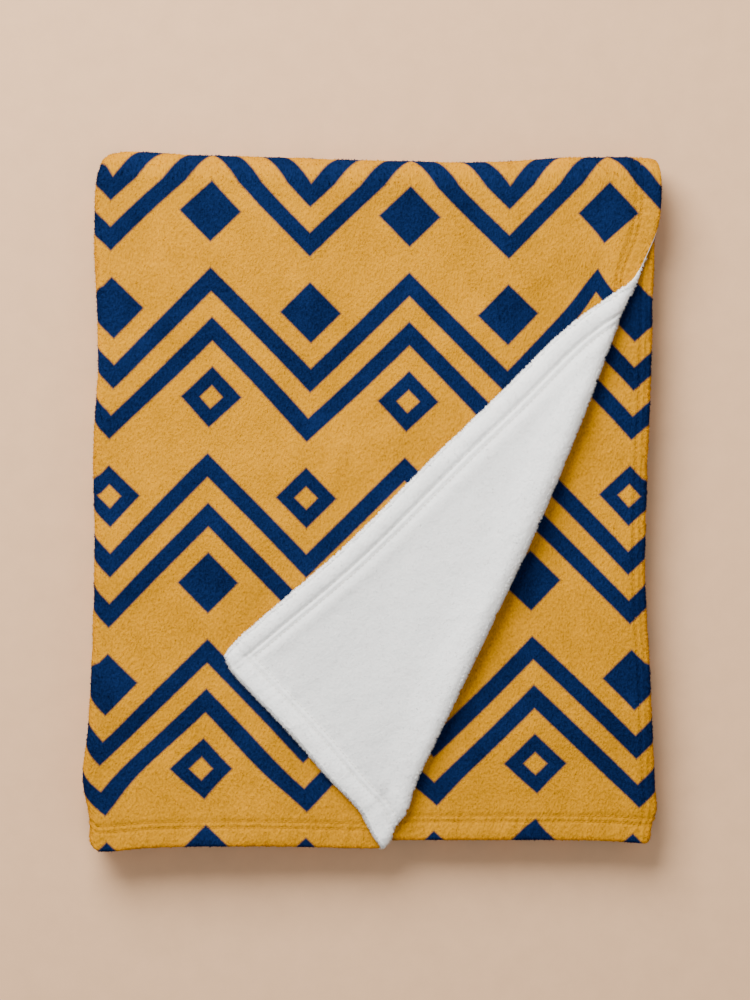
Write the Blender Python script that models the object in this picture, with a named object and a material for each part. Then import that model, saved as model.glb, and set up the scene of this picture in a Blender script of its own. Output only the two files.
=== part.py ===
"""A fleece throw folded in thirds both ways, with the front right corner of its top layer
turned back. One closed cloth. Metres, +Z up, +X right and +Y back as seen from above."""

from collections import namedtuple

import bmesh
import bpy
import numpy as np

# The cloth and its hem
THICK = 0.0024
HEM_WIDTH = 0.014
HEM_EXTRA = 0.0005
FLAP_HEM_EXTRA = 0.0015

# The stack: one layer to the next, and one folded strip of three layers to the next
PITCH = 0.0038
STRIP_PITCH = 3 * PITCH

# The folded pack from above, to the outside of each fold and to each free hem
LEFT_FOLD = -0.1688
RIGHT_FOLD = 0.1688
RIGHT_HEM = 0.1725
BACK_FOLD = 0.2082
FRONT_FOLD = -0.2060
FRONT_HEM = -0.2110
TUCKED_SIDE_GAP = 0.004
TUCKED_END_GAP = 0.006

# How far the front hem of each layer lies behind that of the top one
Layer = namedtuple("Layer", "name set_back")
FRONT_STEPS = (Layer("top", 0.0), Layer("underside", 0.0045), Layer("tucked", 0.0055))

# The turned-back corner: its fold line from above, and the soft roll along that line
FOLD_TOP = (0.1665, 0.1481)
FOLD_FOOT = (0.0035, -0.2099)
ROLL_AT_ENDS = 0.0030
ROLL_AT_MIDDLE = 0.0088
ROLL_FLATTENED = 0.8
ROLL_SETTLE = 0.070
CORNER_TUCK = 0.0035
CORNER_REACH = 0.020

# The pack's back corners, where both folds meet and round off
BACK_CORNER_TUCK = 0.0055
BACK_CORNER_REACH = 0.026
RIGHT_CORNER_SHARE = 0.5

# Unevenness: how far each side of the pack strays outwards, along that side
Stray = namedtuple("Stray", "along out")
LEFT_SIDE = (
    Stray(-0.206, 0.0030), Stray(-0.190, 0.0036), Stray(-0.167, 0.0058),
    Stray(-0.138, 0.0042), Stray(-0.089, 0.0018), Stray(-0.024, 0.0000),
    Stray(0.036, 0.0009), Stray(0.069, -0.0018), Stray(0.103, -0.0018),
    Stray(0.150, 0.0006), Stray(0.178, 0.0006), Stray(0.200, -0.0010),
)
RIGHT_SIDE = (
    Stray(-0.206, 0.0000), Stray(-0.168, 0.0014), Stray(-0.146, 0.0014),
    Stray(-0.105, -0.0008), Stray(-0.048, -0.0034), Stray(0.025, -0.0030),
    Stray(0.063, 0.0000), Stray(0.122, 0.0014), Stray(0.200, 0.0014),
)
BACK_SIDE = (
    Stray(-0.144, 0.0030), Stray(-0.109, 0.0018), Stray(-0.058, 0.0000),
    Stray(0.000, -0.0012), Stray(0.058, -0.0026), Stray(0.121, 0.0000),
    Stray(0.150, 0.0006), Stray(0.172, -0.0004),
)
FRONT_SIDE = (
    Stray(-0.161, 0.0020), Stray(-0.137, -0.0010), Stray(-0.076, -0.0018),
    Stray(0.004, -0.0012), Stray(0.053, 0.0000), Stray(0.086, -0.0006),
    Stray(0.150, 0.0004), Stray(0.167, 0.0022),
)

# Unevenness: shallow swells, as a share of the height, with their length and heading
Swell = namedtuple("Swell", "share length turn phase")
SWELLS = (
    Swell(0.030, 0.260, 0.4, 0.3),
    Swell(0.022, 0.170, 1.9, 1.4),
    Swell(0.014, 0.120, 2.7, 2.2),
)

# How finely the cloth is divided
SIDE_RUN_PARTS = 8
END_RUN_PARTS = 10
TURN_PARTS = 6
ROLL_LINES = 10
SETTLE_LINES = 5
PROBE = 1e-5
CUT_SNAP = 2e-4
SHARP_ANGLE = 1.0

COLOUR = (0.93, 0.43, 0.01, 1.0)
ROUGHNESS = 0.95

Span = namedtuple("Span", "start length point heading curve")


def spans_of(point, heading, side, lengths, radii):
    """Straight runs joined by half turns, all bending to one side (1 left, -1 right)."""
    spans = []
    start = 0.0
    for length, radius in zip(lengths, (*radii, None)):
        spans.append(Span(start, length, point, heading, 0.0))
        start += length
        point = point + length * np.array([np.cos(heading), np.sin(heading)])
        if radius:
            spans.append(Span(start, np.pi * radius, point, heading, side / radius))
            start += np.pi * radius
            centre_way = heading + side * np.pi / 2
            point = point + 2 * radius * np.array([np.cos(centre_way), np.sin(centre_way)])
            heading += side * np.pi
    return spans


def along(spans, distance):
    """The point and the heading at each distance along the runs and turns."""
    across, up, way = (np.zeros_like(distance) for _ in range(3))
    for span in spans:
        here = (distance >= span.start - PROBE / 2) | (span is spans[0])
        gone = distance[here] - span.start
        way[here] = span.heading + span.curve * gone
        if span.curve:
            across[here] = span.point[0] + (np.sin(way[here]) - np.sin(span.heading)) / span.curve
            up[here] = span.point[1] - (np.cos(way[here]) - np.cos(span.heading)) / span.curve
        else:
            across[here] = span.point[0] + gone * np.cos(span.heading)
            up[here] = span.point[1] + gone * np.sin(span.heading)
    return across, up, way


def side_to_side():
    """The strip's section: top layer, left fold, underside, right fold, tucked layer."""
    left = LEFT_FOLD + PITCH + THICK / 2
    right = RIGHT_FOLD - (PITCH + THICK) / 2
    lengths = (RIGHT_HEM - left, right - left, right - left - TUCKED_SIDE_GAP)
    return spans_of(np.array([RIGHT_HEM, PITCH]), np.pi, 1, lengths, (PITCH, PITCH / 2))


def front_to_back():
    """The strip's way: top from the front hem, back fold, underside, front fold, tucked end."""
    reach = PITCH + THICK / 2
    back = BACK_FOLD - STRIP_PITCH - reach
    front = FRONT_FOLD + STRIP_PITCH / 2 + reach
    lengths = (back - FRONT_HEM, back - front, back - front - TUCKED_END_GAP)
    radii = (STRIP_PITCH, STRIP_PITCH / 2)
    return spans_of(np.array([FRONT_HEM, STRIP_PITCH]), 0.0, -1, lengths, radii)


SECTION = side_to_side()
WAY = front_to_back()
FLAT_WIDTH = SECTION[-1].start + SECTION[-1].length
FLAT_LENGTH = WAY[-1].start + WAY[-1].length


def eased(share):
    share = np.clip(share, 0.0, 1.0)
    return share * share * (3 - 2 * share)


def near_corner(from_side, from_end, reach):
    """1 at a corner, falling to 0 at the given reach along either side of it."""
    side = np.clip(1 - from_side / reach, 0.0, 1.0)
    end = np.clip(1 - from_end / reach, 0.0, 1.0)
    return side**2 * end**2


def set_back(u):
    """How far the front hem lies back, eased through the folds from layer to layer."""
    middles = [span.start + span.length / 2 for span in SECTION[0::2]]
    half_runs = [span.length / 2 for span in SECTION[0::2]]
    stations = np.ravel([(m - h, m + h) for m, h in zip(middles, half_runs)])
    return np.interp(u, stations, np.repeat([layer.set_back for layer in FRONT_STEPS], 2))


def fold_frame():
    """The fold line's top end, its length, its direction, and the way to the corner."""
    top, foot = np.array(FOLD_TOP), np.array(FOLD_FOOT)
    length = np.linalg.norm(foot - top)
    line = (foot - top) / length
    return top, length, line, np.array([-line[1], line[0]])


def turn_back(x, y):
    """Rolls what lies past the fold line over on itself: new x, new y and the rise."""
    top, length, line, way = fold_frame()
    s = (x - top[0]) * line[0] + (y - top[1]) * line[1]
    d = (x - top[0]) * way[0] + (y - top[1]) * way[1]
    swell = np.sin(np.pi * np.clip(s / length, 0.0, 1.0))
    roll = ROLL_AT_ENDS + (ROLL_AT_MIDDLE - ROLL_AT_ENDS) * swell
    angle = np.clip(d / roll, 0.0, np.pi)
    flat = np.maximum(d - np.pi * roll, 0.0)
    over = np.minimum(d, 0.0) + roll * np.sin(angle) - flat
    lift = ROLL_FLATTENED * roll
    rise = lift * (1 - np.cos(angle)) + (PITCH - 2 * lift) * eased(flat / ROLL_SETTLE)
    return top[0] + s * line[0] + over * way[0], top[1] + s * line[1] + over * way[1], rise


def is_top_layer(u, v):
    return (u < SECTION[1].start) & (v < WAY[1].start)


def is_flap(u, v):
    """0 where the top layer lies face up and 1 where it is turned back."""
    top, _, _, way = fold_frame()
    d = (RIGHT_HEM - u - top[0]) * way[0] + (FRONT_HEM + v - top[1]) * way[1]
    return is_top_layer(u, v) * eased(d / (np.pi * ROLL_AT_MIDDLE))


def middle(u, v):
    """The cloth's middle surface: flat cloth coordinates in, folded places out."""
    tuck = CORNER_TUCK * near_corner(u, v, CORNER_REACH)
    back = set_back(u)
    u, v = u + tuck, v + tuck + back * np.clip(1 - v / WAY[1].start, 0.0, 1.0)
    x, n, _ = along(SECTION, u)
    y, z, way = along(WAY, v)
    y, z = y - n * np.sin(way), z + n * np.cos(way)
    turned_x, turned_y, rise = turn_back(x, y)
    top = is_top_layer(u, v)
    x, y = np.where(top, turned_x, x), np.where(top, turned_y, y)
    return np.stack([x, y, z + np.where(top, rise, 0.0)], axis=-1)


def print_normal(u, v):
    """The unit normal on the printed side of the cloth."""
    by_u = middle(u + PROBE, v) - middle(u - PROBE, v)
    by_v = middle(u, v + PROBE) - middle(u, v - PROBE)
    normal = np.cross(by_v, by_u)
    return normal / np.linalg.norm(normal, axis=-1, keepdims=True)


def reverse_depth(u, v):
    """How far the white side lies from the middle surface, deeper in the turned-in hem."""
    from_edge = np.minimum(np.minimum(u, FLAT_WIDTH - u), np.minimum(v, FLAT_LENGTH - v))
    extra = HEM_EXTRA + (FLAP_HEM_EXTRA - HEM_EXTRA) * is_flap(u, v)
    return THICK / 2 + extra * (from_edge < HEM_WIDTH - PROBE)


def side_shift(strays, position):
    """A smooth curve through one side's rows, level past its first and last."""
    places, values = np.array(strays).T
    slopes = np.gradient(values, places)
    slopes[[0, -1]] = 0.0
    position = np.clip(position, places[0], places[-1])
    row = np.clip(np.searchsorted(places, position) - 1, 0, len(places) - 2)
    step = places[row + 1] - places[row]
    t = (position - places[row]) / step
    bend = (1 - t) ** 2 * t * slopes[row] - (1 - t) * t**2 * slopes[row + 1]
    return values[row] + (values[row + 1] - values[row]) * eased(t) + step * bend


def uneven(points):
    """Moves the pack's sides out and in, rounds its back corners and swells its height."""
    x, y, z = points.T
    right = (x - LEFT_FOLD) / (RIGHT_FOLD - LEFT_FOLD)
    back = (y - FRONT_FOLD) / (BACK_FOLD - FRONT_FOLD)
    out_x = side_shift(RIGHT_SIDE, y) * right - side_shift(LEFT_SIDE, y) * (1 - right)
    out_y = side_shift(BACK_SIDE, x) * back - side_shift(FRONT_SIDE, x) * (1 - back)
    left_corner = near_corner(x - LEFT_FOLD, BACK_FOLD - y, BACK_CORNER_REACH)
    right_corner = near_corner(RIGHT_FOLD - x, BACK_FOLD - y, BACK_CORNER_REACH)
    right_corner = right_corner * RIGHT_CORNER_SHARE
    out_x = out_x + BACK_CORNER_TUCK * (left_corner - right_corner)
    out_y = out_y - BACK_CORNER_TUCK * (left_corner + right_corner)
    share = sum(
        s.share * np.sin(2 * np.pi * (x * np.cos(s.turn) + y * np.sin(s.turn)) / s.length + s.phase)
        for s in SWELLS
    )
    height = z + STRIP_PITCH + PITCH + THICK / 2
    return np.stack([x + out_x, y + out_y, height * (1 + share)], axis=-1)


def stations(spans, run_parts):
    """Where the cloth is divided: round its turns, and along its runs at places that all
    the layers share, its hem lines among them, so that the layers stay apart."""
    first, last = spans[0].point[0], spans[-1].point[0]
    free_end = last + spans[-1].length * np.cos(spans[-1].heading)
    inwards = [np.cos(spans[0].heading) * HEM_WIDTH, -np.cos(spans[-1].heading) * HEM_WIDTH]
    hem_lines = [first + inwards[0], free_end, free_end + inwards[1]]
    shared = np.append(np.linspace(spans[1].point[0], last, run_parts + 1), hem_lines)
    marks = [0.0]
    for span in spans:
        if span.curve:
            marks.extend(span.start + span.length * np.arange(1, TURN_PARTS) / TURN_PARTS)
        else:
            marks.extend(span.start + np.abs(shared - span.point[0]))
    marks = np.unique(np.round(marks, 6))
    return marks[marks <= spans[-1].start + spans[-1].length + PROBE]


def flat_cloth():
    """The cloth laid flat as a triangle mesh, cut along lines that follow the turned corner."""
    us, vs = stations(SECTION, SIDE_RUN_PARTS), stations(WAY, END_RUN_PARTS)
    mesh = bmesh.new()
    grid = [[mesh.verts.new((u, v, 0.0)) for v in vs] for u in us]
    for low, high in zip(grid, grid[1:]):
        for a, b, c, d in zip(low, high, high[1:], low[1:]):
            mesh.faces.new((a, b, c, d))
    top, _, _, way = fold_frame()
    point = (RIGHT_HEM - top[0], top[1] - FRONT_HEM)
    roll = np.linspace(0.0, np.pi * ROLL_AT_MIDDLE, ROLL_LINES)
    settle = roll[-1] + ROLL_SETTLE * np.arange(1, SETTLE_LINES + 1) / SETTLE_LINES
    for d in (*roll, *settle):
        faces = [f for f in mesh.faces if is_top_layer(*f.calc_center_median()[:2])]
        edges = {edge for face in faces for edge in face.edges}
        verts = {vert for face in faces for vert in face.verts}
        plane = (point[0] - d * way[0], point[1] + d * way[1], 0.0)
        bmesh.ops.bisect_plane(
            mesh, geom=[*verts, *edges, *faces], dist=CUT_SNAP,
            plane_co=plane, plane_no=(-way[0], way[1], 0.0),
        )
    bmesh.ops.triangulate(mesh, faces=mesh.faces[:])
    return mesh


def cloth_mesh():
    """Both faces of the cloth and the rim between them, as one closed mesh."""
    flat = flat_cloth()
    flat.verts.index_update()
    u, v = np.array([vert.co[:2] for vert in flat.verts]).T
    faces = np.array([[vert.index for vert in face.verts] for face in flat.faces])
    rim = np.array([
        (loop.vert.index, loop.link_loop_next.vert.index)
        for face in flat.faces for loop in face.loops if loop.edge.is_boundary
    ])
    flat.free()
    places, normal = middle(u, v), print_normal(u, v)
    printed = uneven(places + normal * THICK / 2)
    white = uneven(places - normal * reverse_depth(u, v)[:, None])
    points = np.concatenate([printed, white])
    low, high = points.min(axis=0), points.max(axis=0)
    points -= [(low[0] + high[0]) / 2, (low[1] + high[1]) / 2, low[2]]
    count = len(u)
    sides = np.column_stack([rim[:, 0], rim[:, 1], rim[:, 1] + count, rim[:, 0] + count])
    mesh = bpy.data.meshes.new("throw")
    quads = [row.tolist() for row in sides]
    triangles = [row.tolist() for row in (*faces[:, ::-1], *(faces + count))]
    mesh.from_pydata(points.tolist(), [], triangles + quads)
    return mesh


def fleece():
    material = bpy.data.materials.new("printed_fleece")
    material.use_nodes = True
    shader = material.node_tree.nodes["Principled BSDF"]
    shader.inputs["Base Color"].default_value = COLOUR
    shader.inputs["Roughness"].default_value = ROUGHNESS
    shader.inputs["Metallic"].default_value = 0.0
    return material


def main():
    for old in list(bpy.data.objects):
        bpy.data.objects.remove(old, do_unlink=True)
    mesh = cloth_mesh()
    mesh.materials.append(fleece())
    mesh.shade_smooth()
    mesh.set_sharp_from_angle(angle=SHARP_ANGLE)
    throw = bpy.data.objects.new("throw", mesh)
    bpy.context.scene.collection.objects.link(throw)


main()
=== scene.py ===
"""A fleece throw folded in thirds both ways, its top corner turned back, seen from above.
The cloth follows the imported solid's folds at a finer scale, with stitched hems, a printed
face, a white reverse and a short brushed pile. Metres, +Z up, +X right, +Y back."""

from collections import namedtuple

import bmesh
import bpy
import numpy as np
from mathutils import Matrix, Vector


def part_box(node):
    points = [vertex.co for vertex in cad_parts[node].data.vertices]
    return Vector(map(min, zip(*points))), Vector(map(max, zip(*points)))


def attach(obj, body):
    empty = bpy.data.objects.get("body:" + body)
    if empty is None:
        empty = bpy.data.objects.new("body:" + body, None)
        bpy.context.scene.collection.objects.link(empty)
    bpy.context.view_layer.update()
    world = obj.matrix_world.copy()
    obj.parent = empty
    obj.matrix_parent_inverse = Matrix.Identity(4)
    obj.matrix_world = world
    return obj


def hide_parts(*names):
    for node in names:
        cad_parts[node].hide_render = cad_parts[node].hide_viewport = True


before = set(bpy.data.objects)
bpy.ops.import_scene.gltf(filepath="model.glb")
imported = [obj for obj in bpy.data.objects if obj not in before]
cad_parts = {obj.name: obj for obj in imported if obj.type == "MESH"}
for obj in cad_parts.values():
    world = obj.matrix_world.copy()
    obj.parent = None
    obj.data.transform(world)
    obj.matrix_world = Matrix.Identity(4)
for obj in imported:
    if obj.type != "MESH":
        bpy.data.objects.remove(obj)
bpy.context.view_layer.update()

# The cloth and its folds, in the solid's own sizes
THICK = 0.0024
PITCH = 0.0038
LAYERS = 9
STRIP_PITCH = 3 * PITCH
LEFT_FOLD = -0.1688
RIGHT_FOLD = 0.1688
RIGHT_HEM = 0.1725
BACK_FOLD = 0.2082
FRONT_FOLD = -0.2060
FRONT_HEM = -0.2110
TUCKED_SIDE_GAP = 0.004
TUCKED_END_GAP = 0.006

Layer = namedtuple("Layer", "name set_back")
FRONT_STEPS = (Layer("top", 0.0), Layer("underside", 0.0085), Layer("tucked", 0.0050))
# The lower strips' free side hem lies in under the right fold above it
HEM_IN = 0.0050
HEM_IN_REACH = 0.060
# The top layer's side hem is drawn in by the top of the fold line and bows out further down
WAIST = 0.0120
WAIST_AT = 0.1330
WAIST_ABOVE = 0.0255
WAIST_BELOW = 0.0420
BOW = 0.0066
BOW_AT = -0.0228
BOW_HALF = 0.0935
CORNER_IN = 0.0028
CORNER_IN_HALF = 0.035
HEM_SWAY_FROM = 0.110
# Its front hem is drawn back within the turned corner
FRONT_BACK = 0.0048
FRONT_BACK_AT = 0.0688
FRONT_BACK_HALF = 0.0770
FRONT_BACK_REACH = 0.080
FRONT_BACK_FADE = 0.040

# The turned-back corner and the roll along its fold line
FOLD_TOP = (0.1607, 0.1481)
FOLD_FOOT = (0.0040, -0.2099)
ROLL_AT_TOP = 0.0024
ROLL_AT_FOOT = 0.0023
ROLL_AT_MIDDLE = 0.0088
# The roll strays a little from a straight line, in waves that are shares of its length
ROLL_STRAY = 0.0019
STRAY_LENGTH = 0.66
STRAY_AT = 0.57
STRAY_HALF = 0.030
STRAY_FADE = 0.08
ROLL_FLATTENED = 0.8
ROLL_SETTLE = 0.070
CORNER_TUCK = 0.0035
CORNER_REACH = 0.020

# The back corners are rounded off, the right one only a little
BACK_CORNER_TUCK = 0.0038
BACK_CORNER_REACH = 0.024
RIGHT_CORNER_SHARE = 0.15

# How far each side of the pack strays outwards, along that side
Stray = namedtuple("Stray", "along out")
LEFT_SIDE = (
    Stray(-0.206, 0.0032), Stray(-0.190, 0.0042), Stray(-0.169, 0.0078),
    Stray(-0.138, 0.0046), Stray(-0.089, 0.0020), Stray(-0.024, 0.0006),
    Stray(0.036, 0.0014), Stray(0.069, -0.0012), Stray(0.103, -0.0012),
    Stray(0.150, 0.0006), Stray(0.178, 0.0006), Stray(0.200, -0.0010),
)
RIGHT_SIDE = (
    Stray(-0.206, 0.0000), Stray(-0.1975, 0.0002), Stray(-0.190, 0.0030),
    Stray(-0.168, 0.0028), Stray(-0.146, 0.0016), Stray(-0.105, -0.0002),
    Stray(-0.048, -0.0032), Stray(0.015, -0.0022), Stray(0.063, 0.0000),
    Stray(0.122, 0.0014), Stray(0.165, 0.0028), Stray(0.200, 0.0030),
)
BACK_SIDE = (
    Stray(-0.160, 0.0056), Stray(-0.144, 0.0050), Stray(-0.109, 0.0032),
    Stray(-0.058, 0.0014), Stray(0.000, -0.0002), Stray(0.058, -0.0014),
    Stray(0.121, 0.0014), Stray(0.150, 0.0018), Stray(0.172, 0.0008),
)
FRONT_SIDE = (
    Stray(-0.161, 0.0022), Stray(-0.137, 0.0002), Stray(-0.076, -0.0010),
    Stray(0.004, 0.0004), Stray(0.053, 0.0004), Stray(0.086, 0.0004),
    Stray(0.150, 0.0014), Stray(0.167, 0.0026),
)

# Slow swells of the pack's height, each a share of it
Swell = namedtuple("Swell", "share length turn phase")
SWELLS = (
    Swell(0.030, 0.260, 0.4, 0.3),
    Swell(0.022, 0.170, 1.9, 1.4),
    Swell(0.014, 0.120, 2.7, 2.2),
)

# The stack presses lower towards its loose front hems
FRONT_DROOP = 0.12
DROOP_FROM = -0.120
DROOP_TO = -0.212

# The hem: two rows of stitches, the fullness outside them and the puckers they draw
STITCH_ROWS = (0.0115, 0.0152)
HEM_MARKS = (0.0003, 0.0008, 0.0016, 0.003, 0.005, 0.0072, 0.0092, 0.0106, 0.0115,
             0.0124, 0.0134, 0.0143, 0.0152, 0.0161, 0.018, 0.0205, 0.0235)
FAR_HEM_MARKS = (0.0008, 0.0016, 0.0115)
EDGE_ROUND = 0.0032
EDGE_LEAST = 0.15
HEM_ROUNDING = 0.6
HEM_EXTRA = 0.0005
PRINT_HEM_EXTRA = 0.0004
FLAP_HEM_EXTRA = 0.0018
GROOVE_DEPTH = 0.0005
GROOVE_WIDTH = 0.0008
FLAP_GROOVE = 0.00055
FLAP_GROOVE_WIDTH = 0.0015
FLAP_RIDGE = 0.0007
FLAP_RIDGE_AT = 0.0205
FLAP_RIDGE_WIDTH = 0.0035
WELT_SHARE = 0.30
PUCKER = 0.00035
FLAP_PUCKER = 0.00018
PUCKER_AT = 0.006
PUCKER_BAND = 1.6 * STITCH_ROWS[1] / 3
PUCKER_LENGTH = 0.0095
# The puckers drift along the hem and swell in height
Ripple = namedtuple("Ripple", "share length phase")
PUCKER_DRIFTS = (Ripple(0.35, 0.061, 1.0), Ripple(0.22, 0.023, 0.0))
PUCKER_SWELL = Ripple(0.4, 0.047, 2.0)

# What the materials read of the hems: their finest puckers, and painted shade that darkens their
# grooves
FINE_PUCKER_AT = 0.010
FINE_PUCKER_REACH = 0.0075
# Painted shade in the stitched grooves: the white face's share of it, and how dark it is on both
# faces
WHITE_GROOVE_SHADE_SHARE = 0.22
GROOVE_PAINTED_SHADE = 0.35
# Painted shade on the turned corner's flat middle, greyer from where it leaves the roll and the
# hems
MIDDLE_PAINTED_SHADE = 0.22
MIDDLE_STARTS = 0.005
MIDDLE_FADES = 0.020
MIDDLE_HEM_FADE = 0.006
# The stitched line beside the lower layer's right fold: a seam, then a row of stitches
FOLD_SEAM = (0.0003, 0.0039)
FOLD_SEAM_MARKS = (0.0003, 0.0013, 0.0021, 0.0030, 0.0039, 0.0048, 0.0060)
# How much each line counts, both in its groove's depth and in the painted shade that darkens it
FOLD_SEAM_DEPTH_AND_SHADE = (1.5, 1.8)
FOLD_SEAM_END = 0.36

# The pinch by the fold's foot: up the fold line, past it, its half sizes and its depth
Pinch = namedtuple("Pinch", "up past length width depth")
PINCH = Pinch(0.031, 0.0215, 0.0085, 0.0034, 0.0011)
# How much painted shade darkens the pinch's hollow
PINCH_PAINTED_SHADE = 0.9

# The pile's unevenness on each face, made of slanting waves
LumpWave = namedtuple("LumpWave", "turn share phase")
LUMP_WAVES = (
    LumpWave(0.3, 1.0, 0.0), LumpWave(1.4, 0.8, 1.7),
    LumpWave(2.5, 0.9, 3.1), LumpWave(0.9, 0.6, 4.4),
)
LUMP_BEND = 1.3
LUMP_BEND_SHARE = 0.37
Lumps = namedtuple("Lumps", "height length")
PRINT_FINE_LUMPS = Lumps(0.00018, 0.019)
PRINT_BROAD_LUMPS = Lumps(0.00035, 0.057)
WHITE_FINE_LUMPS = Lumps(0.00018, 0.017)
WHITE_BROAD_LUMPS = Lumps(0.0003, 0.049)

# Soft creases on the top layer, from above: both ends, height and half width
Crease = namedtuple("Crease", "x1 y1 x2 y2 height width")
CREASES = (
    Crease(0.155, 0.060, 0.153, 0.200, 0.0009, 0.0060),
    Crease(-0.150, -0.150, -0.146, 0.030, 0.0006, 0.0080),
    Crease(-0.120, 0.185, 0.060, 0.176, -0.0005, 0.0090),
    Crease(-0.090, -0.060, 0.020, 0.070, 0.0005, 0.0110),
    Crease(-0.145, 0.060, -0.040, 0.120, -0.0005, 0.0100),
    Crease(0.020, 0.080, 0.130, 0.160, 0.0006, 0.0100),
    Crease(-0.120, -0.165, -0.040, -0.170, 0.0005, 0.0060),
)
CREASE_FADE = 0.03

# How finely the cloth is divided
TOP_STEP = 0.0032
TUCKED_STEP = 0.0070
HIDDEN_STEP = 0.0180
TURN_PARTS = 14
TIGHT_TURN_PARTS = 10
ROLL_LINES = 18
PROBE = 1e-5
RELIEF_PROBE = 1.5e-4
CUT_SNAP = 2e-4
CLOSEST = 2.8e-4
DECIMALS = 6

# Stitches
STITCH_PITCH = 0.0031
STITCH_LENGTH = 0.0025
STITCH_RADIUS = 0.00034
STITCH_STRAY = 0.00012
STITCH_SIDES = 4
StitchRing = namedtuple("StitchRing", "share girth lift")
STITCH_RINGS = (
    StitchRing(0.0, 0.3, -0.6), StitchRing(0.25, 1.0, 0.3),
    StitchRing(0.75, 1.0, 0.3), StitchRing(1.0, 0.3, -0.6),
)

# The pile: how thick and how long its tufts are, and how far they lean from upright
Pile = namedtuple("Pile", "radius shortest longest upright flattest clump spread")
NAP = Pile(0.00010, 0.0006, 0.0012, 0.95, 1.42, 3, 0.00025)
WHITE_NAP = Pile(0.00009, 0.0005, 0.0010, 1.18, 1.48, 3, 0.00025)
TRIM = Pile(0.00014, 0.0006, 0.0013, 0.35, 1.15, 5, 0.00030)
FUZZ = Pile(0.00016, 0.0008, 0.0019, 0.0, 0.90, 6, 0.00028)
CLUMP_TURN = 0.35

# Clumps of tufts over each stretch of the cloth
TOP_CLUMPS = 26000
LOWER_CLUMPS = 11000
FLAP_CLUMPS = 28000
ROLL_CLUMPS = 45000
LEFT_FOLD_CLUMPS = 1700
BACK_FOLD_CLUMPS = 1700
BACK_CORNER_CLUMPS = 200
RIGHT_FOLD_CLUMPS = 1600
FRONT_FOLD_CLUMPS = 1500
SIDE_HEM_CLUMPS = 700
FRONT_HEM_CLUMPS = 900
LOWER_SIDE_CLUMPS = 1300
LOWER_HEM_CLUMPS = 500
FLAP_SIDE_CLUMPS = 2600
FLAP_FRONT_CLUMPS = 1300

# How far from the corner, the hems or the folds those stretches reach
FLAP_ACROSS = 0.175
FLAP_ALONG = 0.375
LOWER_ACROSS = 0.165
LOWER_ALONG = 0.355
LOWER_SIDE_ALONG = 0.36
LOWER_BEFORE_FOLD = 0.003
LOWER_SIDE = 0.006
HEM_EDGE_WIDTH = 0.0012
# Where on the roll each pile starts and ends, in half turns
PRINT_PILE_ENDS = 0.25
WHITE_PILE_STARTS = 0.5
ROLL_FUZZ = (0.2, 0.7)
SEED = 7

# The print, in units of a bar's height where it slants
BAR = 0.0106
UNIT = BAR * 2**0.5
ZIGZAG = 8.0
ROW = 7.5
FIRST_BAR = (0.6, 1.6)
SECOND_BAR = (2.6, 3.6)
DIAMOND_AT = 5.85
DIAMOND = 1.25
DIAMOND_HOLE = 0.45
PRINT_ORIGIN = (0.0315, 0.012)
PRINT_SOFTNESS = 0.13

YELLOW = (0.50, 0.212, 0.0003, 1.0)
NAVY = (0.0040, 0.0105, 0.045, 1.0)
WHITE = (0.96, 0.955, 0.94, 1.0)
THREAD = (0.78, 0.755, 0.70, 1.0)
FLOOR = (0.64, 0.39, 0.225, 1.0)
# The darkest and lightest tone of each colour, as shares of it
YELLOW_TONES = (0.66, 1.20)
NAVY_TONES = (0.45, 1.5)
WHITE_TONES = (0.90, 1.03)
PLAIN_TONES = (0.92, 1.06)
# How dark the painted shade on the turned corner's middle gets, as a share of white
PAINTED_SHADE_DARKEST = 0.2

# The noises in the materials: how fine, how detailed and how rough they are
Noise = namedtuple("Noise", "scale detail rough")
GRAIN = Noise(800.0, 2.0, 0.6)
PRINT_TUFTS = Noise(430.0, 3.0, 0.6)
PRINT_BRUSHED = Noise(60.0, 4.0, 0.6)
PRINT_BROAD = Noise(22.0, 2.0, 0.5)
INK_ACROSS = Noise(300.0, 2.0, 0.6)
INK_ALONG = Noise(350.0, 2.0, 0.6)
WHITE_TUFTS = Noise(300.0, 3.0, 0.6)
WHITE_PATCHES = Noise(55.0, 3.0, 0.6)
PUCKER_FOLDS = Noise(1.0, 1.5, 0.5)
CLOUDS = Noise(60.0, 3.0, 0.6)

# How much each noise counts in a face's tone and in its raised nap, finest first
PRINT_TONE = (1.5, 0.45, 0.8)
PRINT_BROAD_TONE = 0.7
WHITE_TONE = (0.5, 0.55, 1.4)
MEAN_TONE = 0.55
PRINT_NAP_HEIGHTS = (0.8, 0.55, 1.5, 2.4)
PRINT_NAP_DEPTH = 0.0011
WHITE_NAP_HEIGHTS = (0.4, 0.32, 2.2, 0.9)
WHITE_NAP_DEPTH = 0.0007
# How the patches noise mottles the painted shade on the turned corner's middle: its weight, then a
# share that is always there
PAINTED_SHADE_PATCHES = (0.8, 0.6)
INK_STRAY = 0.0006

# How the noise runs with the nap and how the fine puckers are drawn out
NAP_TURN = 0.25
PRINT_NAP_STRETCH = 0.6
WHITE_NAP_STRETCH = 0.8
PUCKER_STRETCH = (45.0, 170.0)

# How rough and how glossy each material is
MATT = 1.0
THREAD_ROUGHNESS = 0.8
FLOOR_ROUGHNESS = 0.6
PRINT_GLOSS = 0.0
WHITE_GLOSS = 0.05
PLAIN_GLOSS = 0.1
# The mix node's colour sockets, by number
MIX_FIRST = 6
MIX_SECOND = 7
MIX_RESULT = 2

# The camera's framing: the photograph's scale and centre
PHOTO_HEIGHT = 1000
METRES_PER_PIXEL = 0.000607
CAMERA_X = 0.0012
CAMERA_Y = 0.0006
CAMERA_ABOVE = 3.0
SENSOR = 36.0

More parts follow.
